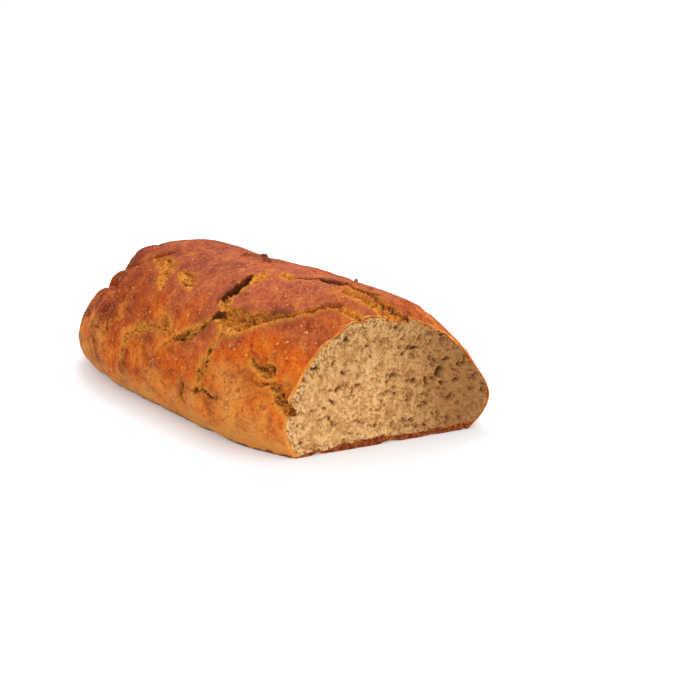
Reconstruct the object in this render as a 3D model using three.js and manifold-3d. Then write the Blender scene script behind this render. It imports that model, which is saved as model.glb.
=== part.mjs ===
// A free-form oblong bread loaf, standing on its flat base, with one end cut off.
// Millimetres, +Z up. X runs along the loaf: the rounded end is at -X and the flat cut at +X.
// The origin is the bottom centre of the loaf's box, so the base lies on Z = 0.
//
// The loaf was baked as one piece, so it is one solid. A sphere is stretched into the dough's
// rounded form, the oven floor flattens it from below, the knife takes off its near end, and
// the tears that opened in the crust are cut out of it.
import * as THREE from 'three';
import { mergeVertices } from 'three/addons/utils/BufferGeometryUtils.js';
import Module from 'manifold-3d';

// Driving dimensions
const LENGTH = 230;          // rounded tip to cut face
const FRONT_WIDTH = 61.5;    // from the middle line to the widest place of the -Y side
const BACK_WIDTH = 58.5;     // the same on the +Y side
const HEIGHT = 63.5;         // at the highest section

// How the section changes along the loaf; "at" values run from 0, the tip, to 1, the cut
const WIDEST_AT = 0.81;
const HIGHEST_AT = 0.9;
const FRONT_POWER = 5;       // roundness of the tip seen from above, blunt when large
const BACK_POWER = 2.2;      // the same on the +Y side, which tapers over a longer way
const RIDGE_POWER = 4.5;     // roundness of the tip seen from the side
const FRONT_AT_CUT = 0.78;   // widths and height at the cut, as shares of the greatest ones
const BACK_AT_CUT = 0.88;
const HEIGHT_AT_CUT = 0.83;

// The section itself: a dome above its widest line, a shallower bowl below it
const WAIST = 0.25;          // height of the widest line, as a share of the local height
const DOME_POWER = 1.45;     // 2 is an ellipse, less is a more pointed crest
const SIDE_POWER = 1.87;
const BOWL_DEPTH = 1.8;      // depth of the bowl in heights of the widest line; the floor trims it

// The loaf isn't quite straight: its tip turns to +Y and rises, and its crest leans to -Y
const TIP_TURN = 15.5;
const TIP_LIFT = 6.5;
const CREST_LEAN = -9.3;

// The heel that the knife takes off, as a share of LENGTH
const HEEL = 0.27;

// The main tears in the crust. Each point is millimetres back from the cut, turn around the
// section in degrees (0 at +Y, 90 on the crest, 180 at -Y), half width and depth.
const TEARS = [
  [[69, 131, 0.6, 0.6], [65, 120, 2.8, 4.0], [64, 110, 2.4, 3.6], [64, 104, 0.6, 0.6]],
  [[59, 133, 0.8, 0.8], [50, 132, 4.2, 3.4], [41, 132, 5.0, 4.0], [31, 128, 3.4, 3.6],
    [20, 122, 2.4, 2.8], [12, 111, 1.4, 1.6], [7, 99, 0.6, 0.5]],
  [[89, 154, 0.6, 0.5], [78, 148, 1.5, 1.4], [68, 143, 3.0, 2.4], [59, 135, 1.6, 1.4]],
  [[122, 184, 0.6, 0.5], [123, 168, 1.4, 1.4], [119, 155, 1.7, 1.6], [107, 149, 0.8, 0.8]],
  [[48, 137, 1.4, 1.2], [49, 150, 2.1, 1.9], [49, 162, 1.8, 1.7], [49, 172, 0.7, 0.6]],
  [[24, 145, 0.7, 0.6], [17, 149, 1.6, 1.6], [12, 149, 2.6, 2.4], [9, 148, 0.9, 0.8]],
  [[13, 158, 0.6, 0.6], [9, 155, 1.1, 1.2], [5, 157, 2.8, 2.8], [2, 162, 2.2, 2.4],
    [-2, 168, 1.4, 1.6]],
  [[50, 97, 0.7, 0.6], [34, 92, 1.1, 1.3], [20, 88, 1.6, 1.8], [11, 78, 0.8, 0.7]],
  [[14, 91, 1.0, 0.8], [8, 86, 3.2, 1.8], [3, 80, 4.0, 2.2], [-3, 70, 4.4, 2.4]],
  [[150, 62, 0.7, 0.6], [125, 52, 2.6, 2.8], [101, 48, 1.2, 1.2], [93, 44, 0.6, 0.5]],
  [[82, 78, 0.7, 0.7], [66, 64, 2.6, 3.0], [55, 58, 3.0, 3.2], [36, 48, 0.8, 0.7]],
  [[28, 47, 0.6, 0.6], [16, 34, 2.2, 2.4], [7, 28, 0.7, 0.6]],
  // the creases between the lobes of the tip
  [[206, 118, 0.8, 1.2], [190, 117, 2.2, 3.4], [178, 118, 2.2, 3.6], [168, 120, 1.8, 2.4],
    [154, 113, 0.7, 0.7]],
  [[206, 135, 0.8, 1.2], [190, 133, 2.4, 3.8], [177, 133, 2.4, 4.0], [166, 137, 1.9, 2.6],
    [155, 144, 0.8, 0.8]],
];
const TEAR_STEP = 4;         // between a tear's sections
const TEAR_RAISE = 1.5;      // how far the cutter of a tear stands out of the crust

// Fineness of the faceted surface
const SEGMENTS_AROUND = 72;
const SEGMENTS_ALONG = 46;

const wasm = await Module();
wasm.setup();

// Height of a unit circle's or superellipse's arc at a distance of 0 to 1 from its middle
function roundedEnd(distance, power) {
  return Math.sqrt(Math.max(1 - distance ** power, 0));
}

// Share of the full section at a place along the loaf: round at the tip, full at the place
// given, easing towards the cut, and closing at the end of the heel
function taper(at, fullAt, power, shareAtCut) {
  if (at < fullAt) {
    return roundedEnd((fullAt - at) / fullAt, power);
  }
  const easing = 1 - (1 - shareAtCut) * ((Math.min(at, 1) - fullAt) / (1 - fullAt)) ** 2;
  return easing * roundedEnd(Math.max(at - 1, 0) / HEEL, 2);
}

// A point of the dough's surface; turn is the angle around the section, 0 at +Y, PI / 2 on top
function doughPoint(at, turn) {
  const across = Math.cos(turn);
  const up = Math.sin(turn);
  const halfWidth = across < 0
    ? FRONT_WIDTH * taper(at, WIDEST_AT, FRONT_POWER, FRONT_AT_CUT)
    : BACK_WIDTH * taper(at, WIDEST_AT, BACK_POWER, BACK_AT_CUT);
  const heightShare = taper(at, HIGHEST_AT, RIDGE_POWER, HEIGHT_AT_CUT);
  const height = HEIGHT * heightShare;
  const waist = WAIST * height;
  const rise = up > 0 ? (height - waist) * up ** (2 / DOME_POWER) : BOWL_DEPTH * waist * up;
  const reach = Math.abs(across) ** (up > 0 ? 2 / SIDE_POWER : 1);
  const z = waist + rise + TIP_LIFT * (1 - heightShare);
  const y = halfWidth * Math.sign(across) * reach
    + TIP_TURN * (1 - Math.min(at, 1)) ** 2
    + CREST_LEAN * Math.sign(z) * (z / HEIGHT) ** 2;
  return new THREE.Vector3(LENGTH * at, y, z);
}

// The whole dough: a sphere whose rows become sections along X, from the tip to the heel's end
function doughGeometry() {
  const geometry = new THREE.SphereGeometry(1, SEGMENTS_AROUND, SEGMENTS_ALONG);
  const position = geometry.getAttribute('position');
  for (let row = 0; row <= SEGMENTS_ALONG; row += 1) {
    const at = (1 + HEEL) * (1 - Math.cos(Math.PI * row / SEGMENTS_ALONG)) / 2;
    for (let column = 0; column <= SEGMENTS_AROUND; column += 1) {
      const turn = Math.PI - 2 * Math.PI * (column % SEGMENTS_AROUND) / SEGMENTS_AROUND;
      const point = doughPoint(at, turn);
      position.setXYZ(row * (SEGMENTS_AROUND + 1) + column, point.x, point.y, point.z);
    }
  }
  return geometry;
}

// Turns a closed three.js geometry into a solid for cutting
function toSolid(geometry) {
  const bare = geometry.clone();
  bare.deleteAttribute('normal');
  bare.deleteAttribute('uv');
  const merged = mergeVertices(bare);
  return new wasm.Manifold(new wasm.Mesh({
    numProp: 3,
    vertProperties: new Float32Array(merged.getAttribute('position').array),
    triVerts: new Uint32Array(merged.getIndex().array),
  }));
}

// Turns a solid back into a three.js geometry
function toGeometry(solid) {
  const mesh = solid.getMesh();
  const geometry = new THREE.BufferGeometry();
  geometry.setAttribute('position', new THREE.BufferAttribute(mesh.vertProperties, 3));
  geometry.setIndex(new THREE.BufferAttribute(mesh.triVerts, 1));
  geometry.computeVertexNormals();
  return geometry;
}

// The direction out of the dough at a point of its surface
function outward(at, turn) {
  const step = 0.001;
  const along = doughPoint(at + step, turn).sub(doughPoint(at - step, turn));
  const around = doughPoint(at, turn + step).sub(doughPoint(at, turn - step));
  return around.cross(along).normalize();
}

// A wedge that follows a tear's path over the crust: wide outside it, an edge at the bottom
function tearGeometry(tear) {
  const surface = tear.map(([back, degrees]) => (
    doughPoint(1 - back / LENGTH, THREE.MathUtils.degToRad(degrees))));
  const path = new THREE.CatmullRomCurve3(surface);
  const sizes = new THREE.CatmullRomCurve3(tear.map(([back, degrees, halfWidth, depth]) => (
    new THREE.Vector3(degrees, halfWidth, depth))));
  const count = Math.max(4, Math.round(path.getLength() / TEAR_STEP));
  const corners = [];
  const indices = [];
  for (let i = 0; i <= count; i += 1) {
    const middle = path.getPoint(i / count);
    const [degrees, halfWidth, depth] = sizes.getPoint(i / count).toArray();
    const out = outward(middle.x / LENGTH, THREE.MathUtils.degToRad(degrees));
    const side = out.clone().cross(path.getTangent(i / count)).setLength(halfWidth * 1.3);
    const raised = middle.clone().addScaledVector(out, TEAR_RAISE);
    corners.push(raised.clone().add(side), raised.clone().sub(side));
    corners.push(middle.clone().addScaledVector(out, -depth));
    if (i < count) {
      for (let corner = 0; corner < 3; corner += 1) {
        const a = 3 * i + corner;
        const b = 3 * i + (corner + 1) % 3;
        indices.push(a, b + 3, a + 3, a, b, b + 3);
      }
    }
  }
  indices.push(0, 2, 1, 3 * count, 3 * count + 1, 3 * count + 2);
  return new THREE.BufferGeometry().setFromPoints(corners).setIndex(indices);
}

// A block whose face towards the loaf is the plane that trims it
function trimmingBlock(centreX, centreZ) {
  const size = 2 * LENGTH;
  return new THREE.BoxGeometry(size, size, size).translate(centreX, 0, centreZ);
}

const floorBlock = trimmingBlock(LENGTH / 2, -LENGTH);
const knifeBlock = trimmingBlock(2 * LENGTH, 0);
const cutters = [floorBlock, knifeBlock, ...TEARS.map(tearGeometry)];
const loafSolid = cutters.reduce(
  (solid, cutter) => solid.subtract(toSolid(cutter)),
  toSolid(doughGeometry()),
);

const loafGeometry = toGeometry(loafSolid);
loafGeometry.computeBoundingBox();
const box = loafGeometry.boundingBox;
loafGeometry.translate(-(box.min.x + box.max.x) / 2, -(box.min.y + box.max.y) / 2, -box.min.z);

const crust = new THREE.MeshStandardMaterial({ color: 0xb8672f, roughness: 0.62, metalness: 0 });
const loaf = new THREE.Mesh(loafGeometry, crust);
loaf.name = 'loaf';

const object = new THREE.Group();
object.add(loaf);

export default object;
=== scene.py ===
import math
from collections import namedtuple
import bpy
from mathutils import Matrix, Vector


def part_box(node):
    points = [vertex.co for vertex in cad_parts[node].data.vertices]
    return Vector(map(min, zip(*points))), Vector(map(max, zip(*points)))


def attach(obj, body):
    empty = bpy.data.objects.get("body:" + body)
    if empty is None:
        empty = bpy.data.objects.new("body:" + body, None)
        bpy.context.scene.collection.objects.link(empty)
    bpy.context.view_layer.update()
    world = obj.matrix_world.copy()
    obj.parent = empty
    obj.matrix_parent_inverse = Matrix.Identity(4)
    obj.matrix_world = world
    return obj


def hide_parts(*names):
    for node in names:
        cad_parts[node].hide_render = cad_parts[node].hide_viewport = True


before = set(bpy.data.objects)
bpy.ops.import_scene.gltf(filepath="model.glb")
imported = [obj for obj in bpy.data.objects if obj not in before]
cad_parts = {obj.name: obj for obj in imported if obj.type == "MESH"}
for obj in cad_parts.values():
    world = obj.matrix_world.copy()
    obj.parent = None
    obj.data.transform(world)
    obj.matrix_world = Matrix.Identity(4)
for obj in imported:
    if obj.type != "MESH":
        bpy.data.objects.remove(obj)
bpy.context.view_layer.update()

# A cut bread loaf. Lengths are worked out in millimetres in the CAD's frame and turned into
# metres when a mesh is made. X runs along the loaf, with the cut face at +X, and Z is up.
# The skin is a grid that follows the same formula as the CAD solid. It is then torn, pitted and
# roughened as real geometry, and masks that come out of that work drive one bread material.
from types import SimpleNamespace

import bpy
import numpy as np
from mathutils import Vector
from numpy.linalg import norm

MM = 0.001

# --- The loaf's form, as in the CAD solid ---
BOX_LOW, BOX_HIGH = (np.array(corner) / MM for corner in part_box("loaf"))
LENGTH, SPAN, HEIGHT = BOX_HIGH - BOX_LOW
FRONT_SHARE, BACK_SHARE = 0.5105, 0.4856  # of the box's width, from the middle line to each side
WIDEST_AT, HIGHEST_AT = 0.81, 0.9         # places along the loaf run from 0, the tip, to 1, the cut
FRONT_POWER, BACK_POWER, RIDGE_POWER = 5, 2.2, 4.5
FRONT_AT_CUT, BACK_AT_CUT, HEIGHT_AT_CUT = 0.78, 0.88, 0.83
WAIST, DOME_POWER, SIDE_POWER, BOWL_DEPTH = 0.25, 1.45, 1.87, 1.8
TIP_TURN, TIP_LIFT, CREST_LEAN = 15.5, 6.5, -9.3

# --- Fineness ---
SPACING = 0.5     # of the skin's grid before it is thinned
UNDER_SPACING = 0.8
MOST_TRIANGLES = 190_000
TIP_START = 1e-5                          # the first ring's place; the tip itself is a point

FULL_TURN = 2 * math.pi
FLOOR_TURN = math.asin(1 / BOWL_DEPTH)    # how far below the waist the section meets the floor


def ease(low, high, values):
    """0 below low, 1 above high, and a smooth step between them."""
    share = np.clip((values - low) / (high - low), 0, 1)
    return share * share * (3 - 2 * share)


def lattice_values(cell, seed):
    """A repeatable number from 0 to 1 for each whole-number lattice point."""
    mixed = cell[..., 0] * 374761393 + cell[..., 1] * 668265263 + cell[..., 2] * 973641833
    mixed = (mixed + seed * 1274126177) & 0xFFFFFFFF
    mixed = ((mixed ^ (mixed >> 13)) * 1103515245) & 0xFFFFFFFF
    mixed = ((mixed ^ (mixed >> 15)) * 1274126177) & 0xFFFFFFFF
    return ((mixed >> 8) & 0xFFFF) / 65535.0


def noise(points, size, seed, octaves=1):
    """Smooth noise from -1 to 1 whose largest lumps are about size across."""
    total = np.zeros(points.shape[:-1])
    weight = 1.0
    reach = 0.0
    for octave in range(octaves):
        scaled = points / size * 2 ** octave + 17.3 * octave
        cell = np.floor(scaled).astype(np.int64)
        part = scaled - cell
        part = part * part * (3 - 2 * part)
        value = 0
        for corner in np.ndindex(2, 2, 2):
            share = np.prod(np.where(corner, part, 1 - part), axis=-1)
            value = value + share * lattice_values(cell + np.array(corner), seed + octave)
        total += weight * (2 * value - 1)
        reach += weight
        weight /= 2
    return total / reach


# --- The smooth dough ---
def taper(at, full_at, power, share_at_cut):
    """Share of the full section: round at the tip, full at full_at, easing towards the cut."""
    back = np.clip((full_at - at) / full_at, 0, 1)
    onward = np.clip((at - full_at) / (1 - full_at), 0, 1)
    return np.sqrt(1 - back ** power) * (1 - (1 - share_at_cut) * onward ** 2)


def untrimmed(at, turn):
    """Points of the dough before it is placed; turn is 0 at +Y and a quarter turn on top."""
    across, up = np.cos(turn), np.sin(turn)
    front = SPAN * FRONT_SHARE * taper(at, WIDEST_AT, FRONT_POWER, FRONT_AT_CUT)
    back = SPAN * BACK_SHARE * taper(at, WIDEST_AT, BACK_POWER, BACK_AT_CUT)
    height_share = taper(at, HIGHEST_AT, RIDGE_POWER, HEIGHT_AT_CUT)
    height = HEIGHT * height_share
    waist = WAIST * height
    dome = (height - waist) * np.abs(up) ** (2 / DOME_POWER)
    z = waist + np.where(up > 0, dome, BOWL_DEPTH * waist * up) + TIP_LIFT * (1 - height_share)
    reach = np.abs(across) ** np.where(up > 0, 2 / SIDE_POWER, 1)
    y = np.where(across < 0, -front, back) * reach
    y = y + TIP_TURN * (1 - at) ** 2 + CREST_LEAN * np.sign(z) * (z / HEIGHT) ** 2
    return np.stack(np.broadcast_arrays(LENGTH * at, y, z), axis=-1)


def dough_offset():
    """What takes untrimmed points to the CAD's frame."""
    at = np.linspace(0, 1, 400)[:, None]
    turn = np.linspace(-FLOOR_TURN, math.pi + FLOOR_TURN, 400)[None, :]
    y = untrimmed(at, turn)[..., 1]
    return np.array([BOX_LOW[0], (BOX_LOW[1] + BOX_HIGH[1] - y.min() - y.max()) / 2, 0])


OFFSET = dough_offset()


def dough(at, turn):
    """Points of the smooth dough, standing on the floor."""
    points = untrimmed(at, turn) + OFFSET
    points[..., 2] = np.maximum(points[..., 2], 0)
    return points


def distances_along(points, axis):
    """How far each point of a line of points is from the line's start."""
    steps = norm(np.diff(points, axis=axis), axis=-1)
    walked = np.cumsum(steps, axis=axis)
    return np.concatenate([np.zeros_like(np.take(walked, [0], axis=axis)), walked], axis=axis)


def ring_places():
    """Places along the loaf about SPACING apart on the skin, from the tip to the cut."""
    fine = TIP_START + (1 - TIP_START) * np.linspace(0, 1, 4001) ** 2
    crest = distances_along(dough(fine, math.pi / 2), 0)
    side = distances_along(dough(fine, math.pi), 0)
    walked = np.maximum(crest, side)
    return np.interp(np.linspace(0, walked[-1], int(walked[-1] / SPACING)), walked, fine)


def even_turns(at, start, end, count):
    """For each place along the loaf, count turns whose points are evenly spaced on the skin."""
    fine = np.linspace(start, end, 721)
    walked = distances_along(dough(at[:, None], fine[None, :]), 1)
    return np.stack([np.interp(np.linspace(0, row[-1], count), row, fine) for row in walked]), walked


def skin_grid():
    """The smooth skin's points, in rings along X, and how many of a ring are over the floor."""
    at = ring_places()
    floor_start, floor_end = -FLOOR_TURN, math.pi + FLOOR_TURN
    widest = np.argmin(np.abs(at - WIDEST_AT))
    _, walked = even_turns(at[widest:widest + 1], floor_start, floor_end, 2)
    over = int(walked[0, -1] / SPACING)
    _, walked = even_turns(at[widest:widest + 1], floor_end, FULL_TURN - FLOOR_TURN, 2)
    under = int(walked[0, -1] / UNDER_SPACING)
    turn_over, _ = even_turns(at, floor_start, floor_end, over)
    turn_under, _ = even_turns(at, floor_end, FULL_TURN - FLOOR_TURN, under + 2)
    turn = np.concatenate([turn_over, turn_under[:, 1:-1]], axis=1)
    return dough(at[:, None], turn), over


def unit(vectors):
    """The vectors made one long."""
    return vectors / np.maximum(norm(vectors, axis=-1, keepdims=True), 1e-12)


def outward_normals(points):
    """Unit normals of a grid of rings, from its neighbours' places."""
    along = np.gradient(points, axis=0)
    wrapped = np.concatenate([points[:, -1:], points, points[:, :1]], axis=1)
    around = (wrapped[:, 2:] - wrapped[:, :-2]) / 2
    return unit(np.cross(around, along))


# --- Tears, cracks and patches in the crust ---
# A tear is its path, its depth at the widest place, and what differs from the defaults. Each path
# point is (millimetres from the cut, turn in degrees, half width). A turn of 90 is the crest, 180
# the front side's waist and 0 the back side's. lip is how far the crust stands up over the steep
# side, crumb how much pale crumb shows inside, char how dark it is inside and how strong the
# painted shade in its holes and under its lip is, and burn how dark the lip's edge is. lean runs
# from 1, a steep wall on the path's left and a long slope on its right, to -1, the reverse.
Tear = namedtuple("Tear", "path depth lip crumb char lean burn", defaults=(0.5, 1, 0.5, 0, 0.6))

TEARS = [
    # the deep transverse tear on top, and its pale tail over the crest
    Tear([(64.5, 124.5, 0.6), (64.5, 121.5, 0.9), (63, 118.5, 1.7), (63.5, 115, 2.6), (64, 111.5, 2.2),
          (64.5, 109, 1.2)], 5, lip=0.8, crumb=0, char=1, lean=0.8, burn=1),
    Tear([(63, 125, 1.4), (61, 119, 1.3), (60.5, 113, 1.6), (59.5, 110, 2.6), (60.5, 106.5, 2.8),
          (62.5, 103, 2), (64, 99, 1.2)], 0.7, lip=0.1, crumb=0.9, char=0, burn=0),
    # the golden crumb where the tears meet
    Tear([(63, 123, 1.6), (60, 125.5, 3.2), (56.5, 127.5, 3.2), (54, 130, 2)], 1, lip=0.1, char=0, burn=0),
    # a patch of crumb on the crest
    Tear([(56, 97, 0.8), (52, 98, 2.4), (47, 98.5, 2.2), (43, 98, 0.8)],
         0.6, lip=0.1, crumb=0.8, char=0, burn=0),
    # the long tear that shows crumb, from the middle of the front to the cut's crest
    Tear([(56, 133, 2.6), (50, 132, 4.6), (43, 132.5, 5.4), (37, 130.5, 4.4), (32, 128, 3)],
         4.2, lip=0.9, char=0.05, lean=0.75, burn=1),
    Tear([(37, 130.5, 4.4), (31, 127.5, 3.2), (25, 124, 2.1), (19, 120.5, 1.2), (14, 116, 0.6),
          (11, 110, 0.5), (7, 100, 0.3)], 3.4, lip=0.9, char=0.2, lean=0.75, burn=1),
    # from the end of both down and back along the front
    Tear([(55, 129, 0.8), (58, 131.5, 1), (61, 136, 1.2), (65, 140.5, 1.1)],
         2.6, crumb=0.6, char=0.9, lean=0.4),
    Tear([(61, 136, 1.7), (65, 140, 2.6), (69, 143.5, 3.2), (74, 146, 2.6), (80, 149, 1.6), (88, 154, 0.8)],
         2.2, char=0.3, lean=0.4),
    # a pocket of crumb, and the crack that leaves it towards the tip and turns down
    Tear([(99, 141.5, 1), (96, 143.5, 2.8), (91, 145.5, 2.8), (86, 147, 0.8)], 2.4, char=0, lean=-0.5),
    Tear([(100, 147, 0.8), (105, 148.5, 1.2), (111, 150, 2.2), (117, 152.5, 3), (120.5, 158, 3),
          (121, 166, 2.6), (122, 173, 1.6), (122.5, 182, 1), (122, 189, 0.6)],
         0.9, lip=0.4, char=0, burn=0),
    Tear([(116, 152, 0.2), (119, 154, 0.6), (121, 157, 0.2), (122, 160, 0.6), (122, 164, 0.1),
          (121.5, 167, 0.5), (122, 171, 0.2), (123, 175, 0.5), (123.5, 182, 0.6), (123, 189, 0.4)],
         1.8, lip=0.2, crumb=0, char=0.7, burn=0),
    # the porous crack down the middle of the front, its branch and its neighbour
    Tear([(50, 135, 2), (47.5, 142, 2.8), (48.5, 148, 3.4), (48.5, 154, 3.8), (48, 160, 3.6),
          (47.5, 166, 2.8), (49, 171, 1.6)], 0.9, char=0, burn=0),
    Tear([(48.5, 141, 0.1), (50, 143.5, 0.5), (49, 145.5, 0.1), (51, 148, 0.6), (50, 150.5, 0.1),
          (49, 153, 0.6), (50, 155.5, 0.1), (51.5, 158, 0.6), (49, 160.5, 0.1), (50.5, 163, 0.6),
          (49, 166, 0.1), (50, 168.5, 0.5), (50.5, 171, 1.1), (51, 173, 0.3)],
         1.9, lip=0.1, crumb=0, char=0.7, burn=0),
    Tear([(50, 171.5, 1), (46, 169.5, 0.8), (43, 168.7, 0.6), (38.5, 170.7, 1.1), (34, 172, 0.6)],
         1.6, lip=0.2, crumb=0.6, char=0.4),
    Tear([(50, 171.8, 0.8), (56, 171.8, 0.4), (62, 172.5, 0.5)], 1, lip=0.2, crumb=0.6, char=0.4),
    Tear([(62.7, 168, 0.5), (61.6, 174, 1), (62.5, 181, 1), (64, 189, 0.6), (65.5, 197, 0.4)],
         1.7, lip=0.3, crumb=0.6, char=0.4),
    # the two gashes near the cut; the lower one runs out of the cut face
    Tear([(23.5, 145, 0.5), (20.1, 147.5, 1.3), (17, 149.3, 1.5), (14.3, 149.5, 2.2), (12, 148.8, 3),
          (10.6, 148.6, 2)], 2.8, char=0.2, lean=0.3),
    Tear([(12.8, 158, 0.4), (11.3, 156, 0.7), (9.4, 154.8, 1), (6.8, 155, 2.6), (5, 157, 3.3),
          (3.8, 160, 3.2), (2, 163, 2.6), (0, 165.8, 2), (-2, 168, 1.6)], 3.2, lip=0.6, char=0.2, lean=0.3),
    # the thin tear behind the crest, whose far lip stands over it
    Tear([(46, 97.3, 0.3), (41, 97.5, 0.6), (38, 95, 0.5), (36, 92, 0.7), (31, 92.5, 0.6),
          (26, 93, 0.8), (22, 90.3, 1.2), (20, 87, 1), (15, 86, 0.8), (12, 82, 0.7), (11, 77, 0.4)],
         1.8, lip=1, crumb=0.2, lean=0.5, burn=0.9),
    # the broad shallow tear from it to the cut's rim, and the dark line along its back
    Tear([(16, 92, 1.2), (12, 90, 2.4), (9, 87, 3.2), (6, 84, 3.7), (3, 80, 4.1), (0, 75, 4.4),
          (-3, 70, 4.6)], 2, crumb=0.9, char=0, lean=0.3, burn=0.2),
    Tear([(14, 85, 0.5), (11, 82, 0.7), (7, 79, 0.8), (3, 74, 0.8), (-1, 68, 0.8)],
         2.4, lip=0.7, crumb=0.3, lean=0.6),
    Tear([(7, 103, 0.6), (4, 101, 1.6), (-1, 99, 2.2)], 0.5, lip=0.1, crumb=0.8, char=0, burn=0),
    # the ridge that shows on the skyline, and the pale patches of the far top
    Tear([(97, 91.5, 0.4), (92, 88.5, 0.8), (88, 87, 1), (84, 87, 1), (80, 89, 0.5)],
         0.8, lip=1.8, crumb=0, char=0.1, lean=-0.5, burn=1),
    Tear([(151, 114.5, 0.7), (144, 115, 2), (136, 116, 3.6), (129, 117.5, 3.8), (124, 121, 3.4),
          (121, 125, 3.4), (117, 130, 1.4)], 1.4, lip=0.4, crumb=0.9, char=0),
    Tear([(114, 118, 1), (108, 119, 2.6), (101, 120.5, 3.8), (96, 121.5, 3), (92, 124, 1.2)],
         1.6, lip=0.4, crumb=0.9, char=0, lean=0.5),
    Tear([(106, 121, 0.3), (104, 123, 0.7), (101, 124.5, 0.7), (97, 124.5, 0.8), (94, 122.5, 0.7),
          (93, 120, 0.3)], 2, lip=0.2, crumb=0),
    Tear([(146, 146, 0.5), (144, 149, 0.9), (145, 154, 0.9), (143, 160, 0.5)], 1.5, lip=0.3, crumb=0.3),
    # on the back
    Tear([(150, 62, 0.9), (138, 55, 2), (125, 52, 2.8), (112, 47, 2.4), (101, 48, 1.2), (93, 44, 0.7)],
         3.4, lip=0.8, crumb=0.9, char=0.4, lean=0.5),
    Tear([(112, 47, 1.4), (109, 38, 1.9), (110, 28, 1.7), (106, 18, 1.3), (107, 6, 0.7)],
         2.1, lip=0.4, crumb=0.9),
    Tear([(82, 78, 0.9), (76, 70, 1.9), (66, 64, 2.8), (55, 58, 3.2), (44, 55, 2.3), (36, 48, 1)],
         4, lip=0.9, crumb=0.9, lean=-0.5),
    Tear([(55, 57, 1.5), (52, 46, 1.9), (54, 35, 1.6), (50, 24, 1.2), (51, 12, 0.6)],
         2, lip=0.4, crumb=0.8),
    Tear([(28, 47, 0.7), (22, 39, 2), (16, 34, 2.4), (11, 30, 1.6), (7, 28, 0.8)],
         2.8, crumb=0.8, char=0.6),
    Tear([(182, 84, 0.8), (176, 72, 1.7), (168, 60, 2.2), (158, 52, 1.6), (150, 40, 0.8)],
         2.4, lip=0.6, crumb=0.6),
    Tear([(30, 20, 0.5), (31, 8, 0.8), (28, -6, 0.5)], 1.3, lip=0.2, crumb=0.6, char=0.4),
    Tear([(84, 26, 0.5), (80, 15, 0.9), (82, 2, 0.8), (79, -10, 0.4)], 1.4, lip=0.3, crumb=0.6, char=0.4),
    # around the tip
    Tear([(205, 158, 0.7), (201, 140, 1.3), (203, 120, 1.6), (200, 100, 1)], 1.8, lip=0.4, crumb=0.5),
    Tear([(216, 75, 0.6), (206, 62, 1.3), (196, 50, 1.5), (188, 34, 0.9)], 1.9, lip=0.4, crumb=0.6),
]

# Creases between the lobes of the far end, with round shoulders: (path, depth)
CREASES = [
    ([(214, 119, 1.6), (202, 118.5, 2.2), (190, 117.5, 2.6), (180, 118, 2.6), (172, 120.5, 2.3),
      (166, 119, 1.9), (158, 115, 1.5), (150, 111, 1.1), (143, 107, 0.7)], 6),
    ([(214, 135, 1.6), (202, 134, 2.3), (190, 133, 2.8), (178, 133, 2.8), (168, 136, 2.3), (159, 140, 1.6),
      (154, 145, 1.2), (155, 152, 1), (154, 160, 0.7)], 6.5),
    ([(200, 96, 1.5), (190, 97.5, 2.4), (180, 98.5, 2), (172, 101, 1.4), (164, 103, 0.8)], 1.5),
]

# Broad swells and dents of the hand-shaped dough: (from cut, turn, radius, height)
SWELLS = [
    # the lobes of the far end and the hollow between them
    (168, 126, 22, -1.2),
    (190, 126, 9, -2.4),
    (186, 110, 9, 1.6),
    # the fuller foot near the cut
    (3, 212, 8.5, 3.4),
    (17, 212, 8, 1),
    # the rest of the crust
    (150, 152, 30, 1.2),
    (120, 105, 28, -1.2),
    (84, 118, 24, 1.2),
    (36, 112, 20, 0.9),
    (30, 160, 26, 0.8),
    (104, 60, 26, -1.6),
    (60, 80, 26, -1.2),
    (80, 40, 30, 1.2),
    (112, 76, 20, -1.4),
]

PORES_PER_SQUARE_MM = 0.3         # in the torn crumb
TORN_PORE_RADIUS = (0.45, 1.15)


def smooth_path(path, step=1.2):
    """A path's points made close and smooth, as places, turns and half widths."""
    knots = np.array(path, dtype=float)
    padded = np.vstack([2 * knots[0] - knots[1], knots, 2 * knots[-1] - knots[-2]])
    pieces = []
    for a, b, c, d in zip(padded, padded[1:], padded[2:], padded[3:]):
        count = max(2, int(np.hypot(*(c - b)[:2]) / step))
        t = np.linspace(0, 1, count, endpoint=False)[:, None]
        pieces.append(0.5 * (2 * b + (c - a) * t + (2 * a - 5 * b + 4 * c - d) * t ** 2
                             + (3 * b - a - 3 * c + d) * t ** 3))
    smooth = np.vstack(pieces + [knots[-1:]])
    at = 1 - smooth[:, 0] / LENGTH
    return at, np.radians(smooth[:, 1]), np.maximum(smooth[:, 2], 0.2)


def outward(at, turn):
    """Unit directions out of the dough at places of its skin."""
    step = 1e-3
    along = dough(np.clip(at + step, 0, 1), turn) - dough(np.clip(at - step, 0, 1), turn)
    around = dough(at, turn + step) - dough(at, turn - step)
    return unit(np.cross(around, along))


def nearest_on_path(points, line, half_width, upright):
    """For each point: distance from the line along the skin, the way to its left, which side of
    it the point is on, and the half width there."""
    best = np.full(len(points), np.inf)
    leftward = np.zeros((len(points), 3))
    side = np.ones(len(points))
    width = np.ones(len(points))
    for i in range(len(line) - 1):
        step = line[i + 1] - line[i]
        share = np.clip((points - line[i]) @ step / max(step @ step, 1e-9), 0, 1)
        away = points - line[i] - share[:, None] * step
        away -= (away @ upright[i])[:, None] * upright[i]
        distance = norm(away, axis=1)
        left = unit(np.cross(upright[i], step))
        local = half_width[i] + share * (half_width[i + 1] - half_width[i])
        nearer = distance / local < best / width
        best = np.where(nearer, distance, best)
        leftward[nearer] = left
        side = np.where(nearer, np.where(away @ left < 0, -1, 1), side)
        width = np.where(nearer, local, width)
    return best, leftward, side, width


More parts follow.
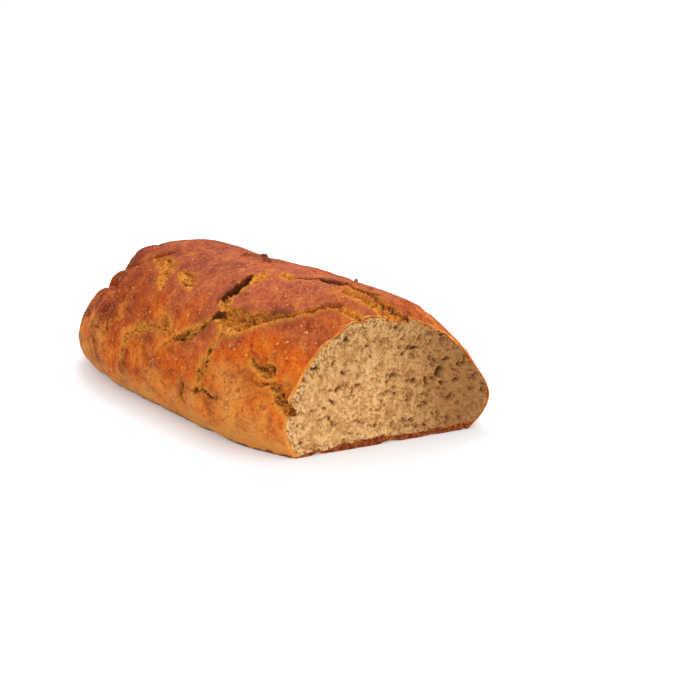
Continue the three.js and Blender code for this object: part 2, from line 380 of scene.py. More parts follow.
def untouched(count):
    """Empty masks: how far the tears move each point of the skin, and what shows there."""
    masks = {name: np.zeros(count) for name in ("depth", "lip", "crumb", "char", "toast", "burn")}
    return SimpleNamespace(shift=np.zeros((count, 3)), **masks)


def keep_larger(mask, near, values):
    """Keeps the larger of a mask and new values, at the points near."""
    mask[near] = np.maximum(mask[near], values)


def wall(past, width, steepness):
    """1 inside a tear and 0 outside; past is how far outside its edge a point is."""
    return 1 - ease(-0.8 - (1.5 - 1.15 * steepness) * width, 0.3, past)


def near_line(points, ragged, path, extra):
    """The points near a path, how they lie from it, and the path's own line."""
    at, turn, half_width = smooth_path(path)
    # past the cut the line runs straight on, so that a tear opens at the rim
    on_loaf = np.clip(at, 0, 1)
    line = dough(on_loaf, turn)
    line[:, 0] += LENGTH * (at - on_loaf)
    upright = outward(on_loaf, turn)
    half_width *= 1 + 0.4 * noise(line, 5, 33, 2)
    reach = half_width.max() * 2.2 + extra
    low, high = line.min(0) - reach, line.max(0) + reach
    index = np.flatnonzero(((points > low) & (points < high)).all(axis=1))
    distance, leftward, hand, width = nearest_on_path(ragged[index], line, half_width, upright)
    return SimpleNamespace(
        index=index, here=points[index], ragged=ragged[index], distance=distance, hand=hand,
        leftward=leftward, width=width, line=line, half_width=half_width, upright=upright)


def torn_pores(near, rng):
    """1 in small round holes scattered along a tear, at the points near it."""
    line, half_width, upright = near.line, near.half_width, near.upright
    holes = np.zeros(len(near.index))
    run = norm(np.diff(line, axis=0), axis=1)
    area = (run * 2 * half_width[1:]).sum()
    for _ in range(int(area * PORES_PER_SQUARE_MM) + 3):
        i = rng.integers(len(run))
        across = unit(np.cross(upright[i], line[i + 1] - line[i]))
        middle = line[i] + across * half_width[i] * rng.uniform(-0.9, 0.9)
        radius = rng.uniform(*TORN_PORE_RADIUS) * min(1, 0.5 + half_width[i] / 3)
        away = near.ragged - middle
        away -= (away @ upright[i])[:, None] * upright[i]
        holes = np.maximum(holes, 1 - ease(0.5, 1.15, norm(away, axis=1) / radius))
    return holes


def raise_lip(masks, tear, near):
    """The crust stands up and leans over a tear's steep side."""
    past, width = near.past, near.width
    lip = tear.lip * near.steep_side * (0.7 + 0.5 * noise(near.here, 7, 39))
    beside = np.exp(-(np.maximum(past, 0) / (2.4 + 0.8 * width)) ** 2)
    keep_larger(masks.lip, near.index, lip * beside * (1 - near.inside))
    edge = np.exp(-((past - 0.3) / 0.7) ** 2) * ease(0.5, 2, width)
    lean_over = -near.leftward * (near.hand * edge * lip * 0.9)[:, None]
    more = norm(lean_over, axis=1) > norm(masks.shift[near.index], axis=1)
    masks.shift[near.index[more]] = lean_over[more]


def colour_tear(masks, tear, near):
    """What shows at a tear: crumb, darkness inside, painted shade in its holes and under the steep lip,
    burnt and golden edges.
    """
    past, index = near.past, near.index
    shown = near.present * (1 - ease(-0.6, 0.6, past))
    keep_larger(masks.crumb, index, tear.crumb * shown)
    # painted shadow right under the steep side's lip, and painted shade in the holes, both added to the
    # darkness inside
    painted_lip_shadow = ease(-1.5, -0.5, near.steep) * (1 - ease(-0.1, 0.6, near.steep))
    painted_lip_shadow = painted_lip_shadow * min(1, 0.65 * tear.lip) * (0.55 + 0.45 * tear.char)
    dark = np.maximum(tear.char * shown + (0.22 + 0.4 * tear.char) * near.holes, painted_lip_shadow)
    keep_larger(masks.char, index, np.clip(dark, 0, 1))
    burn = tear.burn * np.exp(-((past - 1.4) / 2.6) ** 2) * (0.35 + 0.65 * near.steep_side)
    keep_larger(masks.burn, index, burn * ease(-0.5, 0.4, noise(near.here, 9, 45)))
    # golden beside a tear, and inside a shallow one
    toast = np.exp(-(np.maximum(past, 0) / 1.8) ** 2) * (1 - 0.8 * near.steep_side)
    toast *= (0.4 + 0.6 * tear.crumb) * np.where(past < 0, 1 - ease(0.8, 2.4, near.depth), 1)
    keep_larger(masks.toast, index, toast)


def cut_tear(masks, points, ragged, tear, rng):
    """Adds one tear to the masks. ragged is the points moved a little, for uneven edges."""
    near = near_line(points, ragged, tear.path, 5)
    here, width, aside = near.here, near.width, near.hand * near.distance
    near.past = near.distance - width
    left, right = aside - width, -aside - width
    near.inside = wall(left, width, 1 - max(0, -tear.lean)) * wall(right, width, 1 - max(0, tear.lean))
    near.present = ease(0.15, 0.7, width)
    near.depth = tear.depth * (width / near.half_width.max()) ** 0.6 * near.present * near.inside
    near.holes = torn_pores(near, rng) * (near.past < 0.3)
    rough = 1 + 0.3 * noise(here, 3.1, 35, 2) + 0.2 * noise(here, 1.2, 37)
    grain = 0.4 * near.inside * noise(here, 1.5, 38) * tear.crumb
    keep_larger(masks.depth, near.index, near.depth * rough + grain + 1.3 * near.holes)
    way = np.sign(tear.lean)
    near.steep = (near.past, left, right)[int(way)]
    near.steep_side = ease(-0.6, 0.6, near.hand * way * near.distance / width) if way else 0.7
    raise_lip(masks, tear, near)
    colour_tear(masks, tear, near)


def crease_depth(points, ragged, path, deepest):
    """Depth of one crease, sharp at the bottom and round at the shoulders."""
    near = near_line(points, ragged, path, 8)
    depth = np.zeros(len(points))
    share = (near.width / near.half_width.max()) ** 0.7
    depth[near.index] = deepest * share * np.exp(-near.distance / near.width)
    return depth


def vector_noise(points, size, seed):
    """Noise in three directions, for moving points about."""
    return np.stack([noise(points, size, seed + axis) for axis in range(3)], axis=-1)


def tear_masks(points, rng):
    """All the tears' masks; points are read a little off their places, for ragged edges."""
    masks = untouched(len(points))
    ragged = points + 1.2 * vector_noise(points, 4.6, 41) + 0.5 * vector_noise(points, 1.9, 51)
    for tear in TEARS:
        cut_tear(masks, points, ragged, tear, rng)
    for path, deepest in CREASES:
        depth = crease_depth(points, ragged, path, deepest)
        masks.depth += depth
        # painted shade along the bottom of each crease, kept in the mask of the burnt lips
        masks.burn = np.maximum(masks.burn, 0.8 * ease(0.3, 0.9, depth / deepest))
    return masks


# --- The crust's own unevenness ---
PIT_COUNT = 420
PIT_RADIUS = (0.35, 1.1)
SEED_PLACE = (41, 69)       # a toasted seed that stands up behind the crest: from cut, turn
SEED_RADIUS, SEED_HEIGHT = 1.0, 1.7


def relief(points):
    """Height of broad lumps and pebbles."""
    return noise(points, 36, 1, 2) + 0.85 * noise(points, 13, 4, 2) + 0.32 * noise(points, 4.2, 7, 2)


def hairlines(points):
    """1 in fine wandering cracks, which come and go over the crust."""
    line = np.exp(-(noise(points, 17, 121, 3) / 0.035) ** 2)
    return line * ease(0.05, 0.4, noise(points, 30, 127))


def swells(points):
    """Height of the broad swells and dents."""
    total = np.zeros(len(points))
    for from_cut, turn, radius, height in SWELLS:
        middle = dough(1 - from_cut / LENGTH, math.radians(turn))
        away = norm(points - middle, axis=1)
        total += height * np.exp(-(away / radius) ** 2)
    return total


def pits(points, rng):
    """Depth of small round holes scattered over the crust."""
    depth = np.zeros(len(points))
    for _ in range(PIT_COUNT):
        at = rng.uniform(0.05, 0.99)
        turn = math.radians(rng.uniform(-20, 200))
        radius = rng.uniform(*PIT_RADIUS) ** 1.5
        middle = dough(at, turn)
        near = np.flatnonzero(np.abs(points[:, 0] - middle[0]) < 2 * radius)
        part = norm(points[near] - middle, axis=1) / radius
        keep_larger(depth, near, 1.1 * radius * (1 - ease(0.5, 1.1, part)))
    return depth


def seed_bump(points):
    """Height of the one seed that stands up on the crust."""
    from_cut, turn = SEED_PLACE
    middle = dough(1 - from_cut / LENGTH, math.radians(turn))
    part = norm(points - middle, axis=1) / SEED_RADIUS
    return SEED_HEIGHT * (1 - ease(0.6, 1, part))


# --- The cut face ---
FACE_MIDDLE_HEIGHT = 0.4    # of the face's height
CRUST_THICKNESS = 0.7
BASE_CRUST_THICKNESS = 2.8
# Pores that stand out: across, height, half length, half width, tilt in degrees, depth
FACE_PORES = [
    (-17.6, 45.8, 2.2, 1.3, 55, 2.4), (-8.9, 46.1, 1.1, 0.8, 20, 1.2), (-0.5, 43.3, 3.4, 1, 0, 1.3),
    (15.7, 38.4, 2.7, 1.2, 5, 2.2), (22.6, 42.1, 2.5, 1.1, -20, 1.5), (23.3, 38.6, 2.3, 1.2, 10, 1.6),
    (28.1, 27, 2.9, 1.9, 25, 3), (30.5, 31.5, 2.6, 1.1, 5, 1.9), (23, 32.7, 2.1, 1.4, -35, 2.1),
    (14.7, 34.1, 2.5, 1.2, 15, 1.5), (5.5, 27.5, 3, 1.4, 12, 1.9), (-8.9, 29.7, 1.3, 0.8, 70, 1.1),
    (-18.3, 26.8, 1.4, 0.8, -50, 1.6), (-11.8, 25.4, 2.2, 0.9, 30, 2), (-25, 36.5, 1, 1.3, 80, 1.2),
    (-28.2, 34.8, 2.4, 0.8, 80, 1.1), (-29.8, 30.6, 1.4, 0.9, 40, 1.3), (-14.1, 37.3, 2, 1.2, 20, 0.7),
    (-39.6, 23.9, 1.3, 0.8, -40, 1.3), (-30.1, 13.8, 1, 0.7, 0, 1.3), (-40.9, 12.8, 1.5, 1.2, 60, 2.1),
    (-37.8, 7.7, 2, 1.2, -20, 0.8), (-32.4, 3.6, 1.5, 0.7, -15, 1.2), (2.6, 10.4, 1.6, 1, 60, 1.3),
    (10.5, 8.7, 1.1, 0.7, 0, 1.5), (-6.3, 7.8, 0.9, 0.8, 0, 1.2), (-16, 10.3, 1.6, 0.9, 45, 0.9),
    (19.8, 18.8, 1.5, 1, 50, 1.7), (12.5, 18.1, 1.5, 1, 70, 1.2), (18.2, 12.7, 1.6, 0.7, 0, 1.2),
    (21.8, 22.5, 1, 0.7, 30, 1.5), (36, 22, 2.3, 1.3, 20, 2), (33, 15, 1.8, 1, -25, 1.6),
    (41, 16, 1.6, 1, 60, 1.4), (38, 28, 2, 1, 10, 1.8), (28, 8.5, 1.6, 0.8, 0, 1.3),
]
SCATTERED_PORES = [(800, (0.3, 0.75)), (170, (0.8, 1.7))]   # small and medium: count, radii


def face_rings(rim):
    """Rings on the cut plane between the rim and the middle, their shares, and the middle."""
    low, high = rim.min(0), rim.max(0)
    middle = np.array([rim[0, 0], (low[1] + high[1]) / 2, high[2] * FACE_MIDDLE_HEIGHT])
    longest = norm(rim - middle, axis=1).max()
    share = np.linspace(1, 0, int(longest / SPACING) + 1)[1:-1]
    return middle + (rim - middle) * share[:, None, None], share, middle


def pore_depth(spots, pore):
    """Depth of one oval pore at spots on the face."""
    across, height, half_length, half_width, tilt, depth = pore
    y, z = spots[:, 1] - across, spots[:, 2] - height
    lean = math.radians(tilt)
    long_way = (y * math.cos(lean) + z * math.sin(lean)) / half_length
    short_way = (z * math.cos(lean) - y * math.sin(lean)) / half_width
    return depth * (1 - ease(0.45, 1.1, np.hypot(long_way, short_way)))


def face_pores(spots, rng, low, high):
    """Depth of all the pores of the crumb at spots on the face."""
    total = np.zeros(len(spots))
    moved = spots + 1.5 * vector_noise(spots, 4, 61) + 0.6 * vector_noise(spots, 1.3, 71)
    for pore in FACE_PORES:
        total = np.maximum(total, pore_depth(moved, pore))
    for count, radii in SCATTERED_PORES:
        for _ in range(count):
            radius = rng.uniform(*radii)
            stretch = rng.uniform(0.5, 1)
            # more of them towards the back of the face
            across = low[1] + (high[1] - low[1]) * rng.uniform() ** 0.65
            pore = (across, rng.uniform(low[2], high[2]), radius, radius * stretch,
                    rng.uniform(0, 180), radius * rng.uniform(0.9, 1.5))
            near = np.flatnonzero(np.abs(moved[:, 1] - across) < 2 * radius)
            keep_larger(total, near, pore_depth(moved[near], pore))
    return total


# --- The mesh ---
RANDOM_SEED = 11
MASK_NAMES = ("crumb", "char", "toast", "burn", "face", "rim")
UV_MARGIN = 0.01
# where the face and the underside start in the map, above the crust
FACE_CORNER, BASE_CORNER = (0.01, 0.78), (0.41, 0.78)
SHARP_ANGLE = math.radians(55)


def grid_corners(rows, columns):
    """The corner indices of a wrapped grid's quads, as two triangles each."""
    row = np.arange(rows - 1)[:, None]
    column = np.arange(columns)[None, :]
    onward = (column + 1) % columns
    a, b = row * columns + column, row * columns + onward
    c, d = (row + 1) * columns + onward, (row + 1) * columns + column
    return np.stack([np.stack([a, b, c], -1), np.stack([a, c, d], -1)], axis=2).reshape(-1, 3)


def build_skin():
    """The crust and the underside: smooth points, torn points and masks."""
    smooth, over = skin_grid()
    normals = outward_normals(smooth)
    normals[-1, :, 0] = 0
    flat, up = smooth.reshape(-1, 3), unit(normals).reshape(-1, 3)
    rng = np.random.default_rng(RANDOM_SEED)
    masks = tear_masks(flat, rng)
    cracks = hairlines(flat) * (1 - masks.crumb)
    masks.toast = np.maximum(masks.toast, 0.7 * cracks)
    height = relief(flat) + swells(flat) + masks.lip + seed_bump(flat)
    height -= masks.depth + 0.45 * cracks + pits(flat, rng)
    moved = flat + up * height[:, None] + masks.shift
    # the underside is flat but for shallow hollows, which are deeper near the cut
    under = (smooth[..., 2] <= 0).reshape(-1)
    near_cut = ease(-14, -1, flat[under, 0] - BOX_HIGH[0])
    moved[under, 2] = 0.25 * (1 + noise(flat[under], 5, 81, 2)) * ease(-0.4, 0.5, noise(flat[under], 9, 85))
    moved[under, 2] += 1.3 * near_cut * ease(0, 0.7, noise(flat[under], 4, 88, 2))
    moved[:, 2] = np.clip(moved[:, 2], 0, None)
    moved = moved.reshape(smooth.shape)
    # fine grain, read at the moved points, so that it doesn't streak steep walls
    torn = np.maximum(masks.crumb, masks.char).reshape(smooth.shape[:2])
    grain = (0.1 + 0.35 * torn) * noise(moved, 1.7, 131, 2) * (smooth[..., 2] > 0)
    moved += outward_normals(moved) * grain[..., None]
    moved[..., 2] = np.maximum(moved[..., 2], 0)
    moved[-1, :, 0] = BOX_HIGH[0]
    moved[:-1, :, 0] = np.minimum(moved[:-1, :, 0], BOX_HIGH[0] - 0.05)
    return smooth, moved, masks, over, rng


def build_face(rim, rng):
    """The cut face inside the rim: rings, the middle point and their masks."""
    rings, share, middle = face_rings(rim)
    spots = rings.reshape(-1, 3)
    from_rim = ((1 - share)[:, None] * norm(rim - middle, axis=1)[None, :]).reshape(-1)
    ragged = from_rim + 0.75 * noise(spots, 2.5, 91, 2)
    low, high = rim.min(0), rim.max(0)
    crumb = ease(0.6 * CRUST_THICKNESS, CRUST_THICKNESS, ragged)
    above_base = spots[:, 2] + 1.1 * noise(spots, 2.6, 95, 2)
    # the base crust thins out towards the front
    thickness = BASE_CRUST_THICKNESS * (1 + 0.35 * noise(spots, 9, 98))
    thickness *= ease(low[1] - 5, low[1] + 32, spots[:, 1])
    crumb *= ease(-0.3, 0.3, above_base - thickness)
    rim_zone = 1 - ease(2, 8, from_rim + 1.5 * noise(spots, 5, 97))
    pores = face_pores(spots, rng, low, high)
    towards_back = ease(-10, 35, spots[:, 1])
    coarse = (0.35 + 0.45 * towards_back) * noise(spots, 2.1, 111, 2)
    coarse += 0.6 * rim_zone * noise(spots, 1.4, 115, 2)
    grain = 0.22 * noise(spots, 1.1, 101, 2) + 0.15 * noise(spots, 5, 105)
    away = pores * crumb + (0.45 + grain + coarse) * ease(0, 1.2, from_rim)
    spots = spots - np.stack([np.maximum(away, 0), 0 * away, 0 * away], axis=-1)
    # painted shade in the pores
    char = ease(0.3, 3, pores) * crumb
    base_crust = 1 - ease(-0.3, 0.3, above_base - thickness)
    spots[:, 0] -= 0.9 * base_crust * ease(0.1, 0.6, noise(spots, 1.9, 99, 2))
    face_masks = {"crumb": crumb, "char": char, "rim": rim_zone, "toast": base_crust}
    return spots, middle - [0.3, 0, 0], face_masks, len(share)


def map_places(points, triangles, smooth, over, face_low):
    """Where each triangle's corners lie in the map: the crust is laid out by its own distances,
    the face and the underside are seen straight on."""
    rows, columns = smooth.shape[:2]
    crest = distances_along(smooth[:, over // 2], 0)
    around = distances_along(smooth[:, :over], 1)
    half_way = around[:, -1].max() / 2
    scale = (1 - 2 * UV_MARGIN) / crest[-1]
    crust_map = np.zeros((len(points), 2))
    laid = crust_map[:rows * columns].reshape(rows, columns, 2)
    laid[..., 0] = UV_MARGIN + scale * crest[:, None]
    laid[:, :over, 1] = UV_MARGIN + scale * (around - around[:, -1:] / 2 + half_way)
    crust_map[-1] = (UV_MARGIN * 0.9, UV_MARGIN + scale * half_way)
    face_map = FACE_CORNER + scale * (points[:, 1:] - face_low)
    base_map = BASE_CORNER + scale / 2 * (points[:, :2] - BOX_LOW[:2])

    number = np.arange(len(triangles))
    skin_triangles = 2 * (rows - 1) * columns
    ring_column = triangles % columns
    below = (ring_column >= over).any(axis=1) | (np.ptp(ring_column, axis=1) > over // 2)
    kind = np.where(number < skin_triangles + columns, 0, 1)
    kind[below & (number < skin_triangles)] = 2
    return np.stack([crust_map, face_map, base_map])[kind[:, None], triangles]


def loaf_arrays():
    """All points, masks, triangles and map places of the loaf."""
    smooth, skin, masks, over, rng = build_skin()
    rows, columns = skin.shape[:2]
    spots, middle, face_masks, ring_count = build_face(skin[-1], rng)
    tip = skin[0].mean(0)
    points = np.concatenate([skin.reshape(-1, 3), spots, [middle], [tip]])
    skin_count = rows * columns
    middle_index, tip_index = len(points) - 2, len(points) - 1

    values = {name: np.zeros(len(points)) for name in MASK_NAMES}
    for name in ("crumb", "char", "toast", "burn"):
        values[name][:skin_count] = getattr(masks, name)
    for name, value in face_masks.items():
        values[name][skin_count:middle_index] = value
    values["face"][skin_count:middle_index + 1] = 1
    values["crumb"][middle_index] = 1

    skin_faces = grid_corners(rows, columns)
    face_faces = grid_corners(ring_count + 1, columns) + (rows - 1) * columns
    column = np.arange(columns)
    onward = (column + 1) % columns
    last_ring = (rows - 1 + ring_count) * columns
    middle_fan = np.stack([last_ring + column, last_ring + onward, 0 * column + middle_index], -1)
    tip_fan = np.stack([0 * column + tip_index, onward, column], -1)
    triangles = np.concatenate([skin_faces, tip_fan, face_faces, middle_fan])

    places = map_places(points, triangles, smooth, over, skin[-1].min(0)[1:])
    return points, triangles, places, values


def make_mesh(name, points, triangles, places, values):
    """A Blender mesh in metres with its masks and its own map."""
    mesh = bpy.data.meshes.new(name)
    mesh.from_pydata(points * MM, [], triangles)
    for mask, value in values.items():
        mesh.attributes.new(mask, "FLOAT", "POINT").data.foreach_set("value", value)
    layer = mesh.uv_layers.new(name="OFBake")
    layer.data.foreach_set("uv", places.reshape(-1))
    return mesh


def thin(piece, most):
    """Joins the piece's flattest triangles until at most that many are left."""
    modifier = piece.modifiers.new("thin", "DECIMATE")
    modifier.ratio = min(1, most / len(piece.data.polygons))
    graph = bpy.context.evaluated_depsgraph_get()
    mesh = bpy.data.meshes.new_from_object(
        piece.evaluated_get(graph), preserve_all_data_layers=True, depsgraph=graph)
    piece.modifiers.clear()
    piece.data = mesh
    mesh.name = piece.name
    mesh.polygons.foreach_set("use_smooth", [True] * len(mesh.polygons))
    mesh.set_sharp_from_angle(angle=SHARP_ANGLE)


def add_object(name, data):
    """A new object in the scene, made of the data."""
    thing = bpy.data.objects.new(name, data)
    bpy.context.scene.collection.objects.link(thing)
    return thing


def build_loaf():
    """The whole loaf as one piece."""
    piece = add_object("baked_loaf", make_mesh("baked_loaf", *loaf_arrays()))
    thin(piece, MOST_TRIANGLES)
    piece.data.materials.append(bread_material())
    return piece


# --- Materials ---
def new_material(name):
    """A new material and its shader's inputs."""
    material = bpy.data.materials.new(name)
    material.use_nodes = True
    return material, material.node_tree.nodes["Principled BSDF"].inputs


class Nodes:
    """Adds nodes to a material; each call returns the new node's first output, ready to link."""

    def __init__(self, material):
        self.tree = material.node_tree

    def add(self, kind, inputs, output=0, **settings):
        node = self.tree.nodes.new("ShaderNode" + kind)
        for name, value in settings.items():
            setattr(node, name, value)
        for name, value in inputs.items():
            if isinstance(value, bpy.types.NodeSocket):
                self.tree.links.new(value, node.inputs[name])
            else:
                node.inputs[name].default_value = value
        return node.outputs[output]

    def noise(self, where, per_mm, detail=3, roughness=0.55):
        return self.add("TexNoise", {
            "Vector": where, "Scale": per_mm, "Detail": detail, "Roughness": roughness})

    def ramp(self, value, low, high, to_low=0, to_high=1):
        return self.add("MapRange", {
            "Value": value, "From Min": low, "From Max": high, "To Min": to_low, "To Max": to_high},
            interpolation_type="SMOOTHSTEP")

    def math(self, operation, a, b=0):
        return self.add("Math", {0: a, 1: b}, operation=operation)

    def mix(self, below, above, share, *other_shares):
        """The colour above laid over the one below, by the product of the shares."""
        for other in other_shares:
            share = self.math("MULTIPLY", share, other)
        return self.add("Mix", {0: share, 6: below, 7: above}, output=2, data_type="RGBA")

    def specks(self, where, per_mm, radius, share):
        """1 in small round spots, in the given share of the cells."""
        distance = self.add("TexVoronoi", {"Vector": where, "Scale": per_mm}, output="Distance")
        spot = self.ramp(distance, radius, radius * 0.5)
        number = self.add("SeparateColor", {"Color": distance.node.outputs["Color"]})
        return self.math("MULTIPLY", spot, self.math("LESS_THAN", number, share))


def colour(red, green, blue):
    """A linear colour from the 0 to 255 values of its look in full light."""
    def linear(part):
        part /= 255
        return part / 12.92 if part <= 0.04045 else ((part + 0.055) / 1.055) ** 2.4
    return (linear(red), linear(green), linear(blue), 1)


# browned top crust, its paler, pinker tone a painted sheen
CRUST_TOP_AND_SHEEN = colour(178, 86, 50)
CRUST_SIDE = colour(208, 92, 16)
CRUST_FOOT = colour(216, 143, 69)
CRUST_BROWN = colour(124, 30, 2)
CRUST_DARK = colour(124, 46, 20)
CRUST_BURNT = colour(104, 42, 28)
CRUST_GOLD = colour(226, 138, 50)
CRUST_SPECK = colour(236, 176, 120)
CRUST_RIM = colour(246, 170, 86)
TEAR_CRUMB = colour(232, 154, 62)
TEAR_TAN = colour(198, 114, 48)
TEAR_PALE = colour(242, 172, 76)
TEAR_DEEP = colour(124, 50, 10)
# charred brown, also painted as shade in holes, pores and under lips
CHARRED_AND_SHADE = colour(60, 22, 8)
FACE_CRUMB = colour(244, 192, 126)
FACE_WARM = colour(206, 150, 90)
# darker crumb, also the painted shade towards the back of the face
FACE_DARK_AND_SHADE = colour(150, 98, 54)
FACE_PALE = colour(250, 206, 142)
# painted shade in the face's pores
FACE_PORE_SHADE = colour(104, 62, 32)
BASE_CRUST = colour(108, 46, 26)
BASE_PALE = colour(176, 92, 48)


# Flecks of flour: cells per millimetre, radius in cells, share of cells, strength
FLECKS = [(0.28, 0.19, 0.25, 0.7), (0.55, 0.24, 0.25, 0.6), (0.85, 0.28, 0.3, 0.5), (1.3, 0.3, 0.25, 0.4)]


def bread_maps(nodes):
    """The masks, the place in millimetres and the noises that the bread's colours share."""
    place = nodes.add("TexCoord", {}, output="Object")
    where = nodes.add("Mapping", {"Vector": place, "Scale": (1000, 1000, 1000)})
    # the crust's blotches are drawn out along the loaf, a little aslant
    stretched = nodes.add("Mapping", {
        "Vector": place, "Rotation": (0, 0, math.radians(-30)), "Scale": (0.0018, 0.001, 0.001)},
        vector_type="TEXTURE")
    maps = SimpleNamespace(where=where)
    for name in MASK_NAMES:
        setattr(maps, name, nodes.add("Attribute", {}, output="Fac", attribute_name=name))
    maps.along, maps.across, maps.height = nodes.add("SeparateXYZ", {"Vector": where}).node.outputs
    maps.grain = nodes.noise(where, 0.75, 5, 0.6)
    maps.fine = nodes.noise(where, 1.6, 4, 0.6)
    maps.coarse = nodes.noise(where, 0.8, 3, 0.7)
    maps.patches = nodes.noise(stretched, 0.045, 4)
    maps.blotches = nodes.noise(stretched, 0.11, 5, 0.6)
    maps.spots = nodes.noise(stretched, 0.33, 4, 0.6)
    maps.mottle = nodes.noise(stretched, 0.9, 4, 0.65)
    return maps


def crust_colour(nodes, maps):
    """Crust: browned on top with painted sheen, paler towards the foot, with blotches, flecks and dark
    specks of painted pore shade.
    """
    ramp, mix = nodes.ramp, nodes.mix
    height, along, spots = maps.height, maps.along, maps.spots
    lifted = nodes.math("ADD", height, ramp(maps.patches, 0.25, 0.75, -16, 16))
    crust = mix(CRUST_FOOT, CRUST_SIDE, ramp(lifted, 6, 32))
    # the top: browned crust with painted sheen
    crust = mix(crust, CRUST_TOP_AND_SHEEN, ramp(lifted, 30, 56))
    # baked browner at the far end
    crust = mix(crust, CRUST_BROWN, ramp(along, 40, -55, 0, 0.8),
                ramp(height, 16, 40, 0.1, 1), ramp(height, 48, 58, 1, 0.6))
    calm = ramp(height, 2, 18, 0.35, 1)
    lively = ramp(height, 28, 52, 1, 0.45)
    crust = mix(crust, CRUST_DARK, ramp(maps.blotches, 0.48, 0.66, 0, 0.75), calm,
                ramp(along, 60, -40, 0.7, 1.25))
    crust = mix(crust, CRUST_GOLD, ramp(maps.blotches, 0.47, 0.34, 0, 0.75), lively)
    for texture in (spots, maps.mottle):
        crust = mix(crust, CRUST_DARK, ramp(texture, 0.52, 0.7, 0, 0.65), calm)
        crust = mix(crust, CRUST_GOLD, ramp(texture, 0.46, 0.3, 0, 0.5), lively)
    crust = mix(crust, CRUST_GOLD, maps.toast, ramp(spots, 0.35, 0.6, 0.3, 0.9))

    jitter = nodes.add("TexNoise", {"Vector": maps.where, "Scale": 0.9, "Detail": 2}, output="Color")
    jittered = nodes.add("VectorMath", {0: jitter, 1: (1.6, 1.6, 1.6), 2: maps.where},
                         operation="MULTIPLY_ADD")
    for per_mm, radius, share, strength in FLECKS:
        crust = mix(crust, CRUST_SPECK, nodes.specks(jittered, per_mm, radius, share), strength)
    # dark specks: painted shade of small pores
    crust = mix(crust, CHARRED_AND_SHADE, nodes.specks(maps.where, 0.25, 0.13, 0.3), 0.8)
    crust = mix(crust, CRUST_BURNT, maps.burn, ramp(spots, 0.3, 0.6, 0.4, 0.9))
    # the cut crust shows as a thin pale line at the rim
    rim_line = ramp(along, BOX_HIGH[0] - 1, BOX_HIGH[0] - 0.2, 0, 0.8)
    crust = mix(crust, CRUST_RIM, rim_line, ramp(spots, 0.35, 0.6, 0.2, 1))
    foot = nodes.math("SUBTRACT", height, ramp(spots, 0.3, 0.7, -1.2, 1.2))
    return mix(crust, BASE_CRUST, ramp(foot, 1.9, 0.9, 0, 0.85))


def torn_colour(nodes, maps):
    """Crumb in the tears: grainy, with small dark specks of painted hole shade, and golden in the shallow
    ones.
    """
    ramp, mix = nodes.ramp, nodes.mix
    torn = mix(TEAR_TAN, TEAR_CRUMB, ramp(maps.fine, 0.38, 0.62))
    torn = mix(torn, TEAR_TAN, ramp(maps.spots, 0.48, 0.62, 0, 0.6))
    torn = mix(torn, TEAR_DEEP, ramp(maps.grain, 0.5, 0.62, 0, 0.7))
    golden = mix(CRUST_GOLD, TEAR_PALE, ramp(maps.fine, 0.4, 0.6))
    torn = mix(torn, golden, maps.toast, ramp(maps.grain, 0.6, 0.48, 0.1, 0.85))
    # small dark specks: painted shade of holes
    return mix(torn, CHARRED_AND_SHADE, nodes.specks(maps.where, 0.7, 0.3, 0.5), 0.5)


def cut_colour(nodes, maps):
    """Crumb of the cut face: finely grained, sandy near the rim, with dark specks of painted pore shade,
    painted shade towards the back, and darker towards the top.
    """
    ramp, mix = nodes.ramp, nodes.mix
    coarse, across = maps.coarse, maps.across
    fibres = nodes.noise(maps.where, 0.3, 4, 0.7)
    cut = mix(FACE_WARM, FACE_CRUMB, ramp(fibres, 0.4, 0.6))
    # speckled in patches and towards the back, smooth in between
    in_patches = ramp(maps.blotches, 0.35, 0.6, 0.5, 1)
    speckled = nodes.math("MULTIPLY", in_patches, ramp(across, -40, 20, 0.75, 1))
    cut = mix(cut, FACE_DARK_AND_SHADE, ramp(coarse, 0.52, 0.66), speckled)
    cut = mix(cut, FACE_PALE, ramp(coarse, 0.46, 0.34), speckled)
    sand = mix(FACE_PALE, FACE_DARK_AND_SHADE, ramp(coarse, 0.45, 0.6))
    cut = mix(cut, sand, maps.rim, ramp(maps.spots, 0.35, 0.6, 0.5, 0.95))
    # small pores as dark specks: painted shade
    cut = mix(cut, FACE_PORE_SHADE, nodes.specks(maps.where, 0.62, 0.2, 0.45), 0.7)
    # painted shade: darker towards the back of the face
    cut = mix(cut, FACE_DARK_AND_SHADE, ramp(across, -10, 40, 0, 0.8))
    # darker towards the top of the face
    return mix(cut, FACE_DARK_AND_SHADE, ramp(maps.height, 10, 50, 0, 0.3))


def edge_colour(nodes, maps):
    """The crust where the knife went through it: a thin rind, browner towards the back as painted shade,
    and the thick base crust.
    """
    base = nodes.mix(BASE_CRUST, BASE_PALE, nodes.ramp(maps.coarse, 0.42, 0.6))
    # the rind golden at the front and browner towards the back: painted shade
    rind_with_shade = nodes.mix(CRUST_GOLD, CRUST_BROWN, nodes.ramp(maps.across, -45, -5))
    return nodes.mix(rind_with_shade, base, maps.toast, maps.face)


